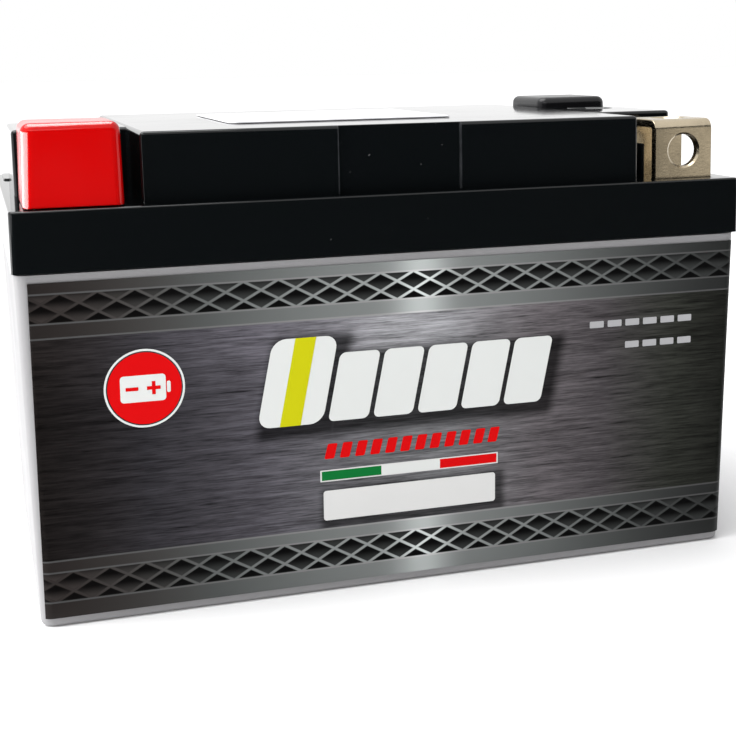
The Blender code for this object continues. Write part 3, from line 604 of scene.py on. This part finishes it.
def stage_floor():
    bm = bmesh.new()
    bmesh.ops.create_grid(bm, x_segments=1, y_segments=1, size=FLOOR_SIZE)
    s = Shader("floor_pale")
    s.put(Roughness=0.9, Specular_IOR_Level=0.1)
    s.colour(s.mix(s.noise(3.0), (0.86, 0.86, 0.86), (0.88, 0.88, 0.88)))
    mesh_object("floor", bm, s.material)


def black_card():
    s = Shader("flag_black")
    s.put(Base_Color=(0.0, 0.0, 0.0, 1.0), Roughness=1.0, Specular_IOR_Level=0.0)
    return s.material


def flag(name, mat, foot, head):
    """A black card between two edges, each given by Y and Z. Only reflections see it."""
    bm = bmesh.new()
    corners = ((FLAG_LEFT, *foot), (FLAG_RIGHT, *foot), (FLAG_RIGHT, *head), (FLAG_LEFT, *head))
    bm.faces.new([bm.verts.new(c) for c in corners])
    card = mesh_object(name, bm, mat)
    card.visible_camera = False
    card.visible_diffuse = False
    card.visible_shadow = False
    card.visible_transmission = False


def aimed(name, lamp, direction):
    obj = link(bpy.data.objects.new(name, lamp))
    obj.rotation_euler = Vector(direction).to_track_quat("-Z", "Y").to_euler()
    return obj


def area(name, where, aim, size, power, tint=WHITE):
    lamp = bpy.data.lights.new(name, "AREA")
    lamp.shape = "RECTANGLE"
    lamp.size, lamp.size_y = size
    lamp.energy = power
    lamp.color = tint
    obj = aimed(name, lamp, Vector(aim) - Vector(where))
    obj.location = where
    return obj


def shine(name, where, aim, size, power, pieces, tint=WHITE):
    """A light card that only the reflections of some pieces see."""
    card = area(name, where, aim, size, power, tint)
    card.visible_diffuse = False
    card.visible_camera = False
    group = bpy.data.collections.new(name + "_pieces")
    for piece in pieces:
        group.objects.link(nodes[piece])
    card.light_linking.receiver_collection = group


def overhead_light():
    """Broad soft light from above, which shines a little to the right and to the front."""
    sky = bpy.data.lights.new("overhead", "SUN")
    sky.energy = 3.4
    sky.angle = math.radians(60)
    aimed("overhead", sky, (0.35, -0.12, -1.0))


def studio_world():
    """White where the camera and reflections see it, and a dimmer room light on everything else."""
    world = bpy.data.worlds.new("studio")
    bpy.context.scene.world = world
    world.use_nodes = True
    tree = world.node_tree
    tree.nodes.clear()
    new, join = tree.nodes.new, tree.links.new
    seen = new("ShaderNodeLightPath")
    either = new("ShaderNodeMath")
    either.operation = "MAXIMUM"
    join(seen.outputs["Is Camera Ray"], either.inputs[0])
    join(seen.outputs["Is Glossy Ray"], either.inputs[1])
    pick = new("ShaderNodeMixShader")
    join(either.outputs[0], pick.inputs[0])
    for i, (colour, strength) in enumerate((((0.98, 0.98, 1.0), 0.45), (WHITE, 1.0)), 1):
        light = new("ShaderNodeBackground")
        light.inputs["Color"].default_value = (*colour, 1.0)
        light.inputs["Strength"].default_value = strength
        join(light.outputs[0], pick.inputs[i])
    join(pick.outputs[0], new("ShaderNodeOutputWorld").inputs[0])


def place_camera():
    data = bpy.data.cameras.new("camera")
    data.lens = LENS
    data.sensor_width = SENSOR
    data.shift_x, data.shift_y = SHIFT
    data.clip_start = 0.01
    camera = link(bpy.data.objects.new("camera", data))
    camera.location = CAMERA_PLACE
    level = math.cos(CAMERA_PITCH)
    forward = Vector((math.sin(CAMERA_YAW) * level, math.cos(CAMERA_YAW) * level, math.sin(CAMERA_PITCH)))
    facing = forward.to_track_quat("-Z", "Y").to_matrix() @ Matrix.Rotation(CAMERA_ROLL, 3, "Z")
    camera.rotation_euler = facing.to_euler()
    bpy.context.scene.camera = camera


stage_floor()
BLACK_CARD = black_card()
flag("front_flag", BLACK_CARD, (FLAG_Y, 0.001), (FLAG_Y, FLAG_TOP))
flag("floor_flag", BLACK_CARD, (FLAG_Y, 0.0005), (FLAG_END, 0.0005))

left_softbox = area("left_softbox", where=(-0.62, -0.02, 0.28), aim=(0.0, 0.0, 0.05), size=(0.5, 0.5),
                    power=5.9)
left_softbox.visible_glossy = False
area("front_softbox", where=(-0.25, -0.75, 0.45), aim=(0.0, 0.0, 0.04), size=(0.5, 0.35), power=1.2)
shine("metal_card", where=(0.29, -0.39, 0.08), aim=(0.06, -0.04, 0.085), size=(0.34, 0.22), power=0.17,
      pieces=TERMINALS, tint=(1.0, 0.97, 0.9))
# low, so that it shows in the cap's upright faces and not in its top
shine("left_cap_card", where=(-0.5, 0.0, 0.06), aim=(-0.06, 0.0, 0.06), size=(0.9, 0.16), power=8.0,
      pieces=("positive_cap",))
shine("top_cap_card", where=(-0.06, 0.12, 0.65), aim=(-0.06, -0.03, 0.09), size=(0.5, 0.5), power=9.0,
      pieces=("positive_cap",))
shine("back_card", where=(0.3, 1.2, 0.15), aim=(0.3, 0.0, 0.15), size=(3.2, 0.3), power=0.5, pieces=("lid",))
overhead_light()
studio_world()
place_camera()

view = bpy.context.scene.view_settings
view.view_transform = "Standard"
view.look = "None"
